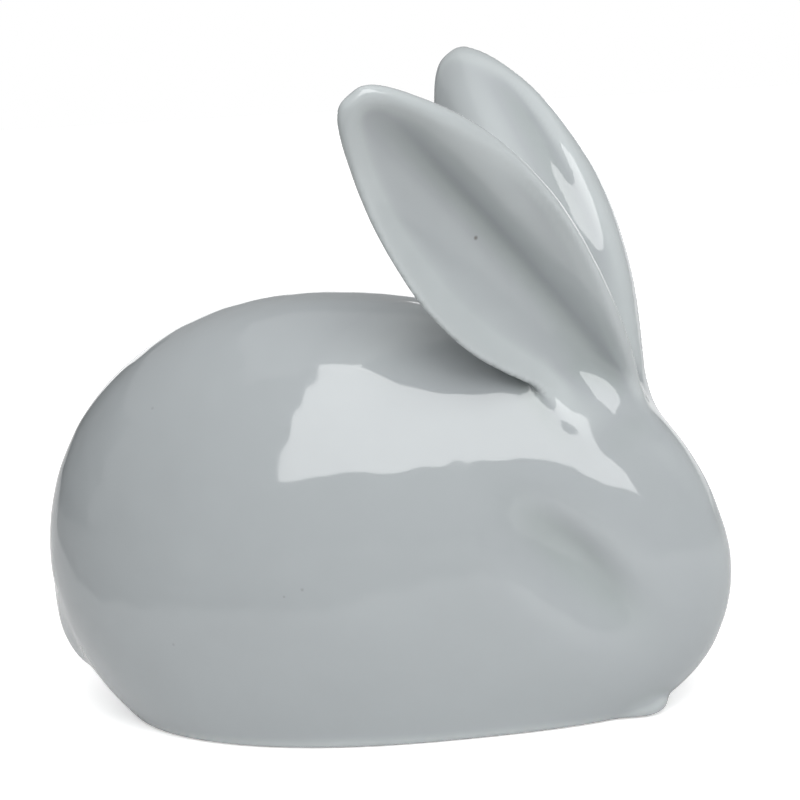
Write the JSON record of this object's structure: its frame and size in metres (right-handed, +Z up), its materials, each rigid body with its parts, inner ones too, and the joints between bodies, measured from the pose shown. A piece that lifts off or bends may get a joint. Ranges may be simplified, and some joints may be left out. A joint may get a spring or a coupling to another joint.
{
  "type": "hare figurine",
  "caption": "Smooth glazed ceramic hare, crouched low with its head tucked down and long cupped ears leaning back in a V.",
  "frame": {"origin": "middle of the hare's outline in plan, on the flat underside", "axes": "+X from tail to nose, +Y to the hare's left, +Z up; the hare mirrors across y = 0"},
  "size_m": [0.168, 0.1076, 0.1564],
  "materials": {
    "celadon_glaze": "gloss"
  },
  "bodies": {
    "root": {"hare": "celadon_glaze"}
  },
  "joints": []
}
